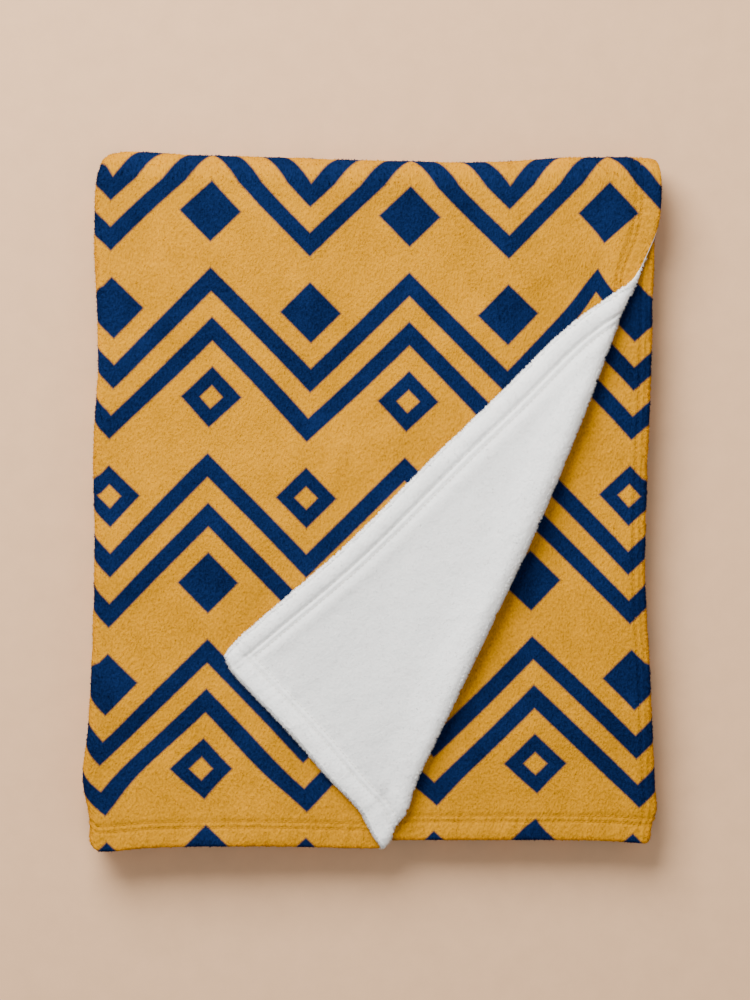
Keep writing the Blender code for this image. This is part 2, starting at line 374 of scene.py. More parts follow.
# The floor, the two lamps that face the pack's middle, and the even light around it
FLOOR_HALF = 4.0
FLOOR_DROP = 0.0002
Lamp = namedtuple("Lamp", "name place size watts colour")
LAMPS = (
    Lamp("key", (-0.58, 1.20, 1.27), 1.35, 94.0, (1.0, 0.985, 0.95)),
    Lamp("fill", (1.2, -0.9, 2.6), 2.4, 8.0, (0.95, 0.98, 1.0)),
)
SKY = 0.60

Span = namedtuple("Span", "start length point heading curve")


# The folds

def spans_of(point, heading, side, lengths, radii):
    """Straight runs joined by half turns, all bending to one side (1 left, -1 right)."""
    spans = []
    start = 0.0
    for length, radius in zip(lengths, (*radii, None)):
        spans.append(Span(start, length, point, heading, 0.0))
        start += length
        point = point + length * np.array([np.cos(heading), np.sin(heading)])
        if radius:
            spans.append(Span(start, np.pi * radius, point, heading, side / radius))
            start += np.pi * radius
            centre_way = heading + side * np.pi / 2
            point = point + 2 * radius * np.array([np.cos(centre_way), np.sin(centre_way)])
            heading += side * np.pi
    return spans


def along(spans, distance):
    """The point and the heading at each distance along the runs and turns."""
    across, up, way = (np.zeros_like(distance) for _ in range(3))
    for span in spans:
        here = (distance >= span.start - PROBE / 2) | (span is spans[0])
        gone = distance[here] - span.start
        way[here] = span.heading + span.curve * gone
        if span.curve:
            across[here] = span.point[0] + (np.sin(way[here]) - np.sin(span.heading)) / span.curve
            up[here] = span.point[1] - (np.cos(way[here]) - np.cos(span.heading)) / span.curve
        else:
            across[here] = span.point[0] + gone * np.cos(span.heading)
            up[here] = span.point[1] + gone * np.sin(span.heading)
    return across, up, way


def side_to_side():
    """The strip's section: top layer, left fold, underside, right fold, tucked layer."""
    left = LEFT_FOLD + PITCH + THICK / 2
    right = RIGHT_FOLD - (PITCH + THICK) / 2
    lengths = (RIGHT_HEM - left, right - left, right - left - TUCKED_SIDE_GAP)
    return spans_of(np.array([RIGHT_HEM, PITCH]), np.pi, 1, lengths, (PITCH, PITCH / 2))


def front_to_back():
    """The strip's way: top from the front hem, back fold, underside, front fold, tucked end."""
    reach = PITCH + THICK / 2
    back = BACK_FOLD - STRIP_PITCH - reach
    front = FRONT_FOLD + STRIP_PITCH / 2 + reach
    lengths = (back - FRONT_HEM, back - front, back - front - TUCKED_END_GAP)
    radii = (STRIP_PITCH, STRIP_PITCH / 2)
    return spans_of(np.array([FRONT_HEM, STRIP_PITCH]), 0.0, -1, lengths, radii)


SECTION = side_to_side()
WAY = front_to_back()
FLAT_WIDTH = SECTION[-1].start + SECTION[-1].length
FLAT_LENGTH = WAY[-1].start + WAY[-1].length
TUCKED_START = SECTION[4].start

# Stretches of the flat cloth that show: the top layer, and the layer under its corner
TOP_U = (0.0, SECTION[1].start)
TOP_V = (0.0, WAY[1].start)
LOWER_U = (TUCKED_START - LOWER_BEFORE_FOLD, TUCKED_START + LOWER_ACROSS)
LOWER_V = (0.0, LOWER_ALONG)
FLAP_U = (0.0, FLAP_ACROSS)
FLAP_V = (0.0, FLAP_ALONG)
HEM_EDGE = (0.0, HEM_EDGE_WIDTH)


def eased(share):
    """A share held between 0 and 1, with a level start and end."""
    share = np.clip(share, 0.0, 1.0)
    return share * share * (3 - 2 * share)


def bump(distance, width):
    """1 at no distance, falling smoothly to 0 on both sides."""
    return np.exp(-((distance / width) ** 2))


def unit(vectors):
    return vectors / np.linalg.norm(vectors, axis=-1, keepdims=True)


def near_corner(from_side, from_end, reach):
    """1 at a corner, falling to 0 at the given reach along either side of it."""
    side = np.clip(1 - from_side / reach, 0.0, 1.0)
    end = np.clip(1 - from_end / reach, 0.0, 1.0)
    return side**2 * end**2


def set_back(u):
    """How far the front hem lies back, eased through the folds from layer to layer."""
    run_ends = np.ravel([(span.start, span.start + span.length) for span in SECTION[0::2]])
    return np.interp(u, run_ends, np.repeat([layer.set_back for layer in FRONT_STEPS], 2))


def fold_frame():
    """The fold line's top end, its length, its direction, and the way to the corner."""
    top, foot = np.array(FOLD_TOP), np.array(FOLD_FOOT)
    length = np.linalg.norm(foot - top)
    line = (foot - top) / length
    return top, length, line, np.array([-line[1], line[0]])


def roll_radius(share):
    """The roll's radius at a share of the fold line, from its top to its foot."""
    share = np.clip(share, 0.0, 1.0)
    end = ROLL_AT_TOP + (ROLL_AT_FOOT - ROLL_AT_TOP) * share
    return end + (ROLL_AT_MIDDLE - end) * np.sin(np.pi * share)


def about_fold(x, y):
    """How far down the fold line a place lies and how far past it."""
    top, _, line, way = fold_frame()
    down = (x - top[0]) * line[0] + (y - top[1]) * line[1]
    past = (x - top[0]) * way[0] + (y - top[1]) * way[1]
    return down, past


def turn_back(x, y):
    """Rolls what lies past the fold line over on itself: new x, new y and the rise."""
    top, length, line, way = fold_frame()
    s, d = about_fold(x, y)
    roll = roll_radius(s / length)
    angle = np.clip(d / roll, 0.0, np.pi)
    flat = np.maximum(d - np.pi * roll, 0.0)
    over = np.minimum(d, 0.0) + roll * np.sin(angle) - flat
    share = s / length
    stray = np.sin(2 * np.pi * (STRAY_AT - share) / STRAY_LENGTH) * bump(over, STRAY_HALF)
    over = over + ROLL_STRAY * stray * eased(share / STRAY_FADE) * eased((1 - share) / STRAY_FADE)
    lift = ROLL_FLATTENED * roll
    rise = lift * (1 - np.cos(angle)) + (PITCH - 2 * lift) * eased(flat / ROLL_SETTLE)
    return top[0] + s * line[0] + over * way[0], top[1] + s * line[1] + over * way[1], rise


def drawn(x, y):
    """The top layer's flat places once its hems have been drawn in and bowed out."""
    near = eased((x - HEM_SWAY_FROM) / (RIGHT_HEM - HEM_SWAY_FROM))
    half = np.where(y > WAIST_AT, WAIST_ABOVE, WAIST_BELOW)
    inward = WAIST * bump(y - WAIST_AT, half) - BOW * bump(y - BOW_AT, BOW_HALF)
    inward = inward + CORNER_IN * bump(y - FRONT_HEM, CORNER_IN_HALF)
    back = bump(x - FRONT_BACK_AT, FRONT_BACK_HALF) * bump(y - FRONT_HEM, FRONT_BACK_REACH)
    back = back * eased(x / FRONT_BACK_FADE)
    return x - near * inward, y + FRONT_BACK * back


def is_top_layer(u, v):
    """Whether a point of the flat cloth is on the pack's top layer."""
    return (u < SECTION[1].start) & (v < WAY[1].start)


def past_fold(u, v):
    """How far a point of the flat top layer lies past the fold line."""
    return about_fold(*drawn(RIGHT_HEM - u, FRONT_HEM + v))[1]


def down_fold(u, v):
    """How far down the fold line a point of the flat top layer lies, as a share of it."""
    _, length, _, _ = fold_frame()
    return about_fold(*drawn(RIGHT_HEM - u, FRONT_HEM + v))[0] / length


def is_flap(u, v):
    """0 where the top layer lies face up and 1 where it is turned back."""
    return is_top_layer(u, v) * eased(past_fold(u, v) / (np.pi * roll_radius(down_fold(u, v))))


def middle(u, v):
    """The cloth's middle surface: flat cloth coordinates in, folded places out."""
    tuck = CORNER_TUCK * near_corner(u, v, CORNER_REACH)
    back = set_back(u)
    u, v = u + tuck, v + tuck + back * np.clip(1 - v / WAY[1].start, 0.0, 1.0)
    x, n, _ = along(SECTION, u)
    y, z, way = along(WAY, v)
    y, z = y - n * np.sin(way), z + n * np.cos(way)
    top = is_top_layer(u, v)
    turned_x, turned_y, rise = turn_back(*drawn(x, y))
    below = eased((v - WAY[1].start) / WAY[1].length) * (u < SECTION[1].start)
    x = x - HEM_IN * below * eased((x - RIGHT_HEM) / HEM_IN_REACH + 1)
    x, y = np.where(top, turned_x, x), np.where(top, turned_y, y)
    return np.stack([x, y, z + np.where(top, rise, 0.0)], axis=-1)


def tangents(u, v):
    """The ways that u and v run on the middle surface."""
    by_u = middle(u + PROBE, v) - middle(u - PROBE, v)
    by_v = middle(u, v + PROBE) - middle(u, v - PROBE)
    return unit(by_u), unit(by_v)


def side_shift(strays, position):
    """A smooth curve through one side's rows, level past its first and last."""
    places, values = np.array(strays).T
    slopes = np.gradient(values, places)
    slopes[[0, -1]] = 0.0
    position = np.clip(position, places[0], places[-1])
    row = np.clip(np.searchsorted(places, position) - 1, 0, len(places) - 2)
    step = places[row + 1] - places[row]
    t = (position - places[row]) / step
    bend = (1 - t) ** 2 * t * slopes[row] - (1 - t) * t**2 * slopes[row + 1]
    return values[row] + (values[row + 1] - values[row]) * eased(t) + step * bend


def uneven(points):
    """Moves the pack's sides out and in, rounds its back corners and swells its height."""
    x, y, z = points.T
    right = (x - LEFT_FOLD) / (RIGHT_FOLD - LEFT_FOLD)
    back = (y - FRONT_FOLD) / (BACK_FOLD - FRONT_FOLD)
    out_x = side_shift(RIGHT_SIDE, y) * right - side_shift(LEFT_SIDE, y) * (1 - right)
    out_y = side_shift(BACK_SIDE, x) * back - side_shift(FRONT_SIDE, x) * (1 - back)
    left_corner = near_corner(x - LEFT_FOLD, BACK_FOLD - y, BACK_CORNER_REACH)
    right_corner = near_corner(RIGHT_FOLD - x, BACK_FOLD - y, BACK_CORNER_REACH)
    right_corner = right_corner * RIGHT_CORNER_SHARE
    out_x = out_x + BACK_CORNER_TUCK * (left_corner - right_corner)
    out_y = out_y - BACK_CORNER_TUCK * (left_corner + right_corner)
    share = sum(
        s.share * np.sin(2 * np.pi * (x * np.cos(s.turn) + y * np.sin(s.turn)) / s.length + s.phase)
        for s in SWELLS
    )
    share = share - FRONT_DROOP * eased((DROOP_FROM - y) / (DROOP_FROM - DROOP_TO))
    height = z + STRIP_PITCH + PITCH + THICK / 2
    return np.stack([x + out_x, y + out_y, height * (1 + share)], axis=-1)


# The relief of hems, seams and creases

def from_edges(u, v):
    """Distances from the side hems and from the end hems."""
    return np.minimum(u, FLAT_WIDTH - u), np.minimum(v, FLAT_LENGTH - v)


def from_hem(u, v):
    """The distance from the nearest hem's edge."""
    return np.minimum(*from_edges(u, v))


def ripples(t, *waves):
    return sum(w.share * np.sin(2 * np.pi * t / w.length + w.phase) for w in waves)


def puckers_along(t):
    """The uneven row of puckers along one hem."""
    swell = 1 - PUCKER_SWELL.share + ripples(t, PUCKER_SWELL)
    return swell * np.sin(2 * np.pi * (t / PUCKER_LENGTH + ripples(t, *PUCKER_DRIFTS)))


def puckers(u, v):
    side, end = from_edges(u, v)
    on_side = puckers_along(v) * bump(side - PUCKER_AT, PUCKER_BAND)
    return on_side + puckers_along(u) * bump(end - PUCKER_AT, PUCKER_BAND)


def grooves(u, v, width):
    """The grooves that the hems' rows of stitches draw in."""
    side, end = from_edges(u, v)
    return sum(bump(e - row, width) for e in (side, end) for row in STITCH_ROWS)


def fold_seam(u, v):
    """The grooves of the stitched line beside the lower layer's right fold."""
    lines = zip(FOLD_SEAM, FOLD_SEAM_DEPTH_AND_SHADE)
    total = sum(share * bump(u - TUCKED_START - place, GROOVE_WIDTH) for place, share in lines)
    return total * (v < WAY[1].start)


def fullness(u, v):
    """The turned-in hem's roundness, from the edge to its inner row of stitches."""
    nearest = from_hem(u, v)
    band = np.sin(np.pi * np.clip(nearest / STITCH_ROWS[0], 0.0, 1.0)) ** HEM_ROUNDING
    welt = np.clip((nearest - STITCH_ROWS[0]) / (STITCH_ROWS[1] - STITCH_ROWS[0]), 0.0, 1.0)
    return band + WELT_SHARE * np.sin(np.pi * welt)


def foot_pinch(u, v):
    """The small pinch where the turned corner's fold meets the front hem."""
    _, length, _, _ = fold_frame()
    up = (1 - down_fold(u, v)) * length
    return bump(up - PINCH.up, PINCH.length) * bump(past_fold(u, v) - PINCH.past, PINCH.width)


def edge_roundness(u, v):
    """The share of its thickness that the cloth keeps as it rounds off at an edge."""
    nearest = from_hem(u, v)
    inside = 1 - np.clip(nearest / EDGE_ROUND, 0.0, 1.0)
    return EDGE_LEAST + (1 - EDGE_LEAST) * np.sqrt(1 - inside**2)


def creases(u, v):
    """Soft ridges and troughs on the printed face of the top layer."""
    x, y = RIGHT_HEM - u, FRONT_HEM + v
    total = np.zeros_like(u)
    for c in CREASES:
        span = np.hypot(c.x2 - c.x1, c.y2 - c.y1)
        line = ((c.x2 - c.x1) / span, (c.y2 - c.y1) / span)
        s = (x - c.x1) * line[0] + (y - c.y1) * line[1]
        off = (y - c.y1) * line[0] - (x - c.x1) * line[1]
        ends = eased(s / CREASE_FADE) * eased((span - s) / CREASE_FADE)
        total += c.height * bump(off, c.width) * ends
    return total * is_top_layer(u, v) * (1 - is_flap(u, v))


def lumps(u, v, size):
    """A gentle unevenness of the pile, the same at every run."""
    total = 0.0
    for turn, share, phase in LUMP_WAVES:
        reach = 2 * np.pi * (u * np.cos(turn) + v * np.sin(turn)) / (size * share)
        bend = LUMP_BEND * np.sin(reach * LUMP_BEND_SHARE + phase)
        total = total + np.sin(reach + phase + bend)
    return total / len(LUMP_WAVES)


def printed_depth(u, v):
    """How far the printed face stands from the cloth's middle, relief and all."""
    flap = is_flap(u, v)
    fine, broad = PRINT_FINE_LUMPS, PRINT_BROAD_LUMPS
    relief = PUCKER * puckers(u, v) + creases(u, v)
    relief = relief - GROOVE_DEPTH * (grooves(u, v, GROOVE_WIDTH) + fold_seam(u, v))
    relief = relief + fine.height * lumps(u, v, fine.length)
    relief = relief + broad.height * lumps(u, v, broad.length)
    relief = relief + PRINT_HEM_EXTRA * fullness(u, v)
    return THICK / 2 * edge_roundness(u, v) + relief * (1 - flap) * edge_roundness(u, v)


def reverse_depth(u, v):
    """How far the white face stands from the cloth's middle, fuller where it shows."""
    flap = is_flap(u, v)
    fine, broad = WHITE_FINE_LUMPS, WHITE_BROAD_LUMPS
    nearest = from_hem(u, v)
    extra = (HEM_EXTRA + (FLAP_HEM_EXTRA - HEM_EXTRA) * flap) * fullness(u, v)
    width = GROOVE_WIDTH + (FLAP_GROOVE_WIDTH - GROOVE_WIDTH) * flap
    groove = (GROOVE_DEPTH + (FLAP_GROOVE - GROOVE_DEPTH) * flap) * grooves(u, v, width)
    ripple = PUCKER + (FLAP_PUCKER - PUCKER) * flap
    relief = extra - groove + ripple * puckers(u, v)
    uneven_pile = fine.height * lumps(u, v, fine.length) + broad.height * lumps(v, u, broad.length)
    relief = relief + flap * uneven_pile
    relief = relief + flap * FLAP_RIDGE * bump(nearest - FLAP_RIDGE_AT, FLAP_RIDGE_WIDTH)
    relief = relief - flap * PINCH.depth * foot_pinch(u, v)
    return (THICK / 2 + relief) * edge_roundness(u, v)


def surface(u, v, side):
    """Places on one face of the cloth (1 printed, -1 white) and its normal."""
    by_u, by_v = tangents(u, v)
    normal = side * unit(np.cross(by_v, by_u))
    depth = printed_depth(u, v) if side > 0 else reverse_depth(u, v)
    return uneven(middle(u, v) + normal * depth[:, None]), normal


def relief_frame(u, v, side):
    """Places on one face with the normal and tangents of the finished relief."""
    step = RELIEF_PROBE
    by_u = unit(surface(u + step, v, side)[0] - surface(u - step, v, side)[0])
    by_v = unit(surface(u, v + step, side)[0] - surface(u, v - step, side)[0])
    return surface(u, v, side)[0], side * np.cross(by_v, by_u), by_u, by_v


# Meshes

def stations(spans, steps, turn_parts, seam):
    """Where the cloth is divided: close by the first hem and over the top layer."""
    end = spans[-1].start + spans[-1].length
    marks = [0.0, *HEM_MARKS, end, *(end - mark for mark in FAR_HEM_MARKS), *seam]
    for number, span in enumerate(spans):
        if span.curve:
            parts = turn_parts[number // 2]
        else:
            parts = int(np.ceil(span.length / steps[number // 2]))
        marks.extend(span.start + span.length * np.arange(parts) / parts)
    marks = np.unique(np.round(marks, DECIMALS))
    close = np.diff(marks, prepend=-1.0) < CLOSEST
    return marks[~close | np.isin(marks, [round(end, DECIMALS)])]


def flat_cloth():
    """The cloth laid flat, divided finely and cut along the roll of the turned corner."""
    turns = (TURN_PARTS, TIGHT_TURN_PARTS)
    seam = [TUCKED_START + place for place in FOLD_SEAM_MARKS]
    us = stations(SECTION, (TOP_STEP, HIDDEN_STEP, TUCKED_STEP), turns, seam)
    vs = stations(WAY, (TOP_STEP, HIDDEN_STEP, HIDDEN_STEP), turns, [])
    mesh = bmesh.new()
    grid = [[mesh.verts.new((u, v, 0.0)) for v in vs] for u in us]
    for low, high in zip(grid, grid[1:]):
        for a, b, c, d in zip(low, high, high[1:], low[1:]):
            mesh.faces.new((a, b, c, d))
    top, _, _, way = fold_frame()
    point = (RIGHT_HEM - top[0], top[1] - FRONT_HEM)
    for d in np.linspace(0.0, np.pi * ROLL_AT_MIDDLE, ROLL_LINES):
        faces = [f for f in mesh.faces if is_top_layer(*f.calc_center_median()[:2])]
        edges = {edge for face in faces for edge in face.edges}
        verts = {vert for face in faces for vert in face.verts}
        plane = (point[0] - d * way[0], point[1] + d * way[1], 0.0)
        bmesh.ops.bisect_plane(
            mesh, geom=[*verts, *edges, *faces], dist=CUT_SNAP,
            plane_co=plane, plane_no=(-way[0], way[1], 0.0),
        )
    mesh.verts.index_update()
    u, v = np.array([vert.co[:2] for vert in mesh.verts]).T
    faces = [[vert.index for vert in face.verts] for face in mesh.faces]
    rim = [
        (loop.vert.index, loop.link_loop_next.vert.index)
        for face in mesh.faces for loop in face.loops if loop.edge.is_boundary
    ]
    mesh.free()
    return u, v, faces, rim


def put_in_scene(name, data):
    item = bpy.data.objects.new(name, data)
    bpy.context.scene.collection.objects.link(item)
    return item


def new_piece(name, points, faces, materials):
    mesh = bpy.data.meshes.new(name)
    mesh.from_pydata(np.asarray(points).tolist(), [], faces)
    for material in materials:
        mesh.materials.append(material)
    mesh.shade_smooth()
    return put_in_scene(name, mesh)


def lay_uv(mesh, u, v):
    """A UV map of the flat cloth's own coordinates, in metres."""
    corners = np.empty(len(mesh.loops), np.int32)
    mesh.loops.foreach_get("vertex_index", corners)
    layer = mesh.uv_layers.new(name="cloth")
    layer.uv.foreach_set("vector", np.stack([u, v], -1)[corners].astype(np.float32).ravel())


def lay_seams(mesh, u, v, lines):
    """Marks each point's nearness to a side hem and an end hem, the painted shade of a groove, and
    the painted shade of the flap's middle.
    """
    side, end = from_edges(u, v)
    near = [bump(e - FINE_PUCKER_AT, FINE_PUCKER_REACH) for e in (side, end)]
    marks = np.stack([*near, np.clip(lines, 0.0, 1.0)], axis=-1)
    layer = mesh.attributes.new("seams", "FLOAT_VECTOR", "POINT")
    layer.data.foreach_set("vector", marks.astype(np.float32).ravel())
    # Painted shade: greyer over the turned corner's flat middle and in the pinch at its foot
    flat = past_fold(u, v) - np.pi * roll_radius(down_fold(u, v))
    painted_shade = eased((flat - MIDDLE_STARTS) / MIDDLE_FADES) * is_top_layer(u, v)
    painted_shade = painted_shade * eased((from_hem(u, v) - STITCH_ROWS[1]) / MIDDLE_HEM_FADE)
    painted_shade = painted_shade + PINCH_PAINTED_SHADE * foot_pinch(u, v) * is_top_layer(u, v)
    layer = mesh.attributes.new("middle", "FLOAT", "POINT")
    layer.data.foreach_set("value", painted_shade.astype(np.float32))


def cloth_piece(materials):
    """The whole cloth as one closed mesh, printed on one face and white on the other."""
    u, v, faces, rim = flat_cloth()
    count = len(u)
    printed, white = surface(u, v, 1)[0], surface(u, v, -1)[0]
    shown = [face[::-1] for face in faces]
    behind = [[corner + count for corner in face] for face in faces]
    sides = [[a, b, b + count, a + count] for a, b in rim]
    points = np.concatenate([printed, white])
    piece = new_piece("throw_cloth", points, shown + behind + sides, materials)
    rim_u, rim_v = u[[a for a, _ in rim]], v[[a for a, _ in rim]]
    turned = is_flap(rim_u, rim_v) > 0.5
    slots = np.concatenate([np.zeros(len(shown)), np.ones(len(behind)), turned]).astype(np.int32)
    piece.data.polygons.foreach_set("material_index", slots)
    lay_uv(piece.data, np.tile(u, 2), np.tile(v, 2))
    # Painted shade for the stitched grooves, weaker on the white face
    printed_groove_shade = grooves(u, v, GROOVE_WIDTH) + fold_seam(u, v)
    white_groove_shade = WHITE_GROOVE_SHADE_SHARE * grooves(u, v, FLAP_GROOVE_WIDTH)
    lines = np.concatenate([printed_groove_shade, white_groove_shade])
    lay_seams(piece.data, np.tile(u, 2), np.tile(v, 2), lines)
    return piece


def seam_rows(rng):
    """Stitch by stitch, the rows of the two hems that show: where each begins and ends."""
    first, last = [], []
    for row in STITCH_ROWS:
        for length, upright in ((FLAT_LENGTH, True), (FLAT_WIDTH, False)):
            t = np.arange(row, length - row, STITCH_PITCH)
            t = t + rng.normal(0.0, STITCH_STRAY, len(t))
            still = np.full_like(t, row)
            for ends, place in ((first, t), (last, t + STITCH_LENGTH)):
                ends.append(np.stack((still, place) if upright else (place, still)))
    t = np.arange(STITCH_ROWS[1], FOLD_SEAM_END, STITCH_PITCH)
    still = np.full_like(t, TUCKED_START + FOLD_SEAM[1])
    first.append(np.stack((still, t)))
    last.append(np.stack((still, t + STITCH_LENGTH)))
    return np.concatenate(first, axis=1), np.concatenate(last, axis=1)


def stitches(name, side, material, rng):
    """Short rounded threads lying in the grooves, all one mesh."""
    first, last = seam_rows(rng)
    ends = [surface(*p, side)[0] for p in (first, last)]
    normal = surface(*((first + last) / 2), side)[1]
    way = ends[1] - ends[0]
    span = np.linalg.norm(way, axis=-1, keepdims=True)
    way = way / span
    across = np.cross(way, normal)
    points = []
    for share, girth, lift in STITCH_RINGS:
        centre = ends[0] + way * span * share + normal * STITCH_RADIUS * lift
        for turn in (np.arange(STITCH_SIDES) + 0.5) * 2 * np.pi / STITCH_SIDES:
            spoke = across * np.cos(turn) + normal * np.sin(turn)
            points.append(centre + spoke * STITCH_RADIUS * girth)
    points = np.stack(points, axis=1)
    n, rings, total = STITCH_SIDES, len(STITCH_RINGS), points.shape[1]
    pattern = [
        [n * r + k, n * r + (k + 1) % n, n * (r + 1) + (k + 1) % n, n * (r + 1) + k]
        for r in range(rings - 1) for k in range(n)
    ]
    caps = [list(range(n))[::-1], list(range(total - n, total))]
    starts = np.arange(len(points)) * total
    faces = [[s + c for c in face] for s in starts.tolist() for face in pattern + caps]
    piece = new_piece(name, points.reshape(-1, 3), faces, [material])
    middle_u, middle_v = (first + last) / 2
    lay_uv(piece.data, np.repeat(middle_u, total), np.repeat(middle_v, total))
    return piece


def fibres(name, places, side, pile, material, rng):
    """Short leaning tufts of pile at the given places on one face, all one mesh."""
    u, v = np.repeat(places, pile.clump, axis=1) + rng.normal(
        0.0, pile.spread, (2, places.shape[1] * pile.clump))
    u, v = np.maximum(u, 0.0), np.maximum(v, 0.0)
    base, normal, by_u, by_v = relief_frame(u, v, side)
    count = len(u)
    turn = np.repeat(rng.uniform(-np.pi, np.pi, places.shape[1]), pile.clump)
    turn = (turn + rng.normal(0.0, CLUMP_TURN, count))[:, None]
    lean = rng.uniform(pile.upright, pile.flattest, count)[:, None]
    flat = by_u * np.cos(turn) + by_v * np.sin(turn)
    way = normal * np.cos(lean) + flat * np.sin(lean)
    length = rng.uniform(pile.shortest, pile.longest, count)[:, None]
    across = np.cross(flat, normal)
    back = np.cross(across, way)
    root = base - normal * pile.radius
    corners = [
        root + pile.radius * (across * np.cos(a) + back * np.sin(a))
        for a in (0.0, 2 * np.pi / 3, 4 * np.pi / 3)
    ]
    points = np.stack([*corners, base + way * length], axis=1).reshape(-1, 3)
    pattern = np.array([(0, 1, 3), (1, 2, 3), (2, 0, 3)])
    each = len(corners) + 1
    faces = (np.arange(count)[:, None, None] * each + pattern).reshape(-1, 3)
    piece = new_piece(name, points, faces.tolist(), [material])
    lay_uv(piece.data, np.repeat(u, each), np.repeat(v, each))
    return piece


# The print, worked out in the shader from the flat cloth's coordinates

class Wire:
    """A shader socket that adds, subtracts and multiplies as a number does."""

    def __init__(self, tree, socket):
        self.tree, self.socket = tree, socket

    def math(self, operation, *others):
        node = self.tree.nodes.new("ShaderNodeMath")
        node.operation = operation
        for place, value in enumerate((self, *others)):
            if isinstance(value, Wire):
                self.tree.links.new(value.socket, node.inputs[place])
            else:
                node.inputs[place].default_value = value
        return Wire(self.tree, node.outputs[0])

    def __add__(self, other):
        return self.math("ADD", other)

    def __sub__(self, other):
        return self.math("SUBTRACT", other)

    def __mul__(self, other):
        return self.math("MULTIPLY", other)

    def __rsub__(self, other):
        return (self * -1.0) + other


def floor_of(x):
    return x.math("FLOOR")


def size_of(x):
    return x.math("ABSOLUTE")


def smaller(x, y):
    return x.math("MINIMUM", y)


def limited(x):
    """A wire's value, held between 0 and 1."""
    return smaller(x.math("MAXIMUM", 0.0), 1.0)


def beyond(x, edge):
    """0 below the edge and 1 past it, with a slightly soft print edge between."""
    return limited((x - edge) * (1 / PRINT_SOFTNESS) + 0.5)


def between(x, low, high):
    return beyond(x, low) * (1.0 - beyond(x, high))


def odd(x):
    half = x * 0.5
    return (half - floor_of(half)) * 2.0


def ink(u, v):
    """How navy the print is: rows of two zigzag bars with diamonds in their bends."""
    across = (u - PRINT_ORIGIN[0]) * (1 / (UNIT * ZIGZAG))
    height = (v - PRINT_ORIGIN[1]) * (1 / UNIT)
    rise = size_of(across - floor_of(across) - 0.5) * ZIGZAG
    place = (height - rise) * (1 / ROW)
    row = floor_of(place)
    t = (place - row) * ROW
    bars = between(t, *FIRST_BAR) + between(t, *SECOND_BAR)
    off = t - DIAMOND_AT
    fall = ZIGZAG / 2 - rise
    low = rise + size_of(off + rise)
    high = fall + size_of(off - fall)
    solid = 1.0 - beyond(smaller(low, high), DIAMOND)
    hole = (1.0 - beyond(smaller(low, high), DIAMOND_HOLE)) * odd(row)
    return limited(bars + solid - hole)


# Materials

def new_material(name):
    material = bpy.data.materials.new(name)
    material.use_nodes = True
    return material, material.node_tree, material.node_tree.nodes["Principled BSDF"]


def noise(tree, vector, kind):
    node = tree.nodes.new("ShaderNodeTexNoise")
    node.inputs["Scale"].default_value = kind.scale
    node.inputs["Detail"].default_value = kind.detail
    node.inputs["Roughness"].default_value = kind.rough
    tree.links.new(vector, node.inputs["Vector"])
    return Wire(tree, node.outputs["Fac"])


def weighed(wires, weights):
    """The wires added up, each times its weight."""
    total = wires[0] * weights[0]
    for wire, weight in zip(wires[1:], weights[1:]):
        total = total + wire * weight
    return total


def mixed(tree, share, first, second):
    """A colour between two, which are colours or sockets."""
    node = tree.nodes.new("ShaderNodeMix")
    node.data_type = "RGBA"
    tree.links.new(share.socket, node.inputs["Factor"])
    for place, value in ((MIX_FIRST, first), (MIX_SECOND, second)):
        if isinstance(value, tuple):
            node.inputs[place].default_value = value
        else:
            tree.links.new(value, node.inputs[place])
    return node.outputs[MIX_RESULT]


def shade(colour, share):
    return tuple(min(1.0, channel * share) for channel in colour[:3]) + (1.0,)


def toned(tree, tone, colour, tones):
    """A colour from its darkest tone to its lightest."""
    return mixed(tree, tone, *(shade(colour, share) for share in tones))


def cloth_vector(tree, stretch):
    """The flat cloth's coordinates, plain and drawn out so that noise runs with the nap."""
    uv = tree.nodes.new("ShaderNodeUVMap")
    uv.uv_map = "cloth"
    mapping = tree.nodes.new("ShaderNodeMapping")
    mapping.inputs["Scale"].default_value = (1.0, stretch, 1.0)
    mapping.inputs["Rotation"].default_value = (0.0, 0.0, NAP_TURN)
    tree.links.new(uv.outputs["UV"], mapping.inputs["Vector"])
    return uv.outputs["UV"], mapping.outputs["Vector"]


def finish(tree, shader, colour, roughness, gloss):
    tree.links.new(colour, shader.inputs["Base Color"])
    shader.inputs["Roughness"].default_value = roughness
    shader.inputs["Specular IOR Level"].default_value = gloss


def raise_nap(tree, shader, heights, depth):
    """Bump from the pile's noise, in metres."""
    node = tree.nodes.new("ShaderNodeBump")
    node.inputs["Strength"].default_value = 1.0
    node.inputs["Distance"].default_value = depth
    tree.links.new(heights.socket, node.inputs["Height"])
    tree.links.new(node.outputs["Normal"], shader.inputs["Normal"])


def hem_puckers_and_groove_shade(tree, flat):
    """Short folds drawn across the hems by their stitches, and the painted shade of the seams'
    grooves.
    """
    marks = tree.nodes.new("ShaderNodeAttribute")
    marks.attribute_name = "seams"
    apart = tree.nodes.new("ShaderNodeSeparateXYZ")
    tree.links.new(marks.outputs["Vector"], apart.inputs[0])
    folds = []
    for place, stretch in enumerate((PUCKER_STRETCH, PUCKER_STRETCH[::-1])):
        mapping = tree.nodes.new("ShaderNodeMapping")
        mapping.inputs["Scale"].default_value = (*stretch, 1.0)
        tree.links.new(flat, mapping.inputs["Vector"])
        fold = noise(tree, mapping.outputs["Vector"], PUCKER_FOLDS) - 0.5
        folds.append(fold * Wire(tree, apart.outputs[place]))
    return folds[0] + folds[1], Wire(tree, apart.outputs[2])


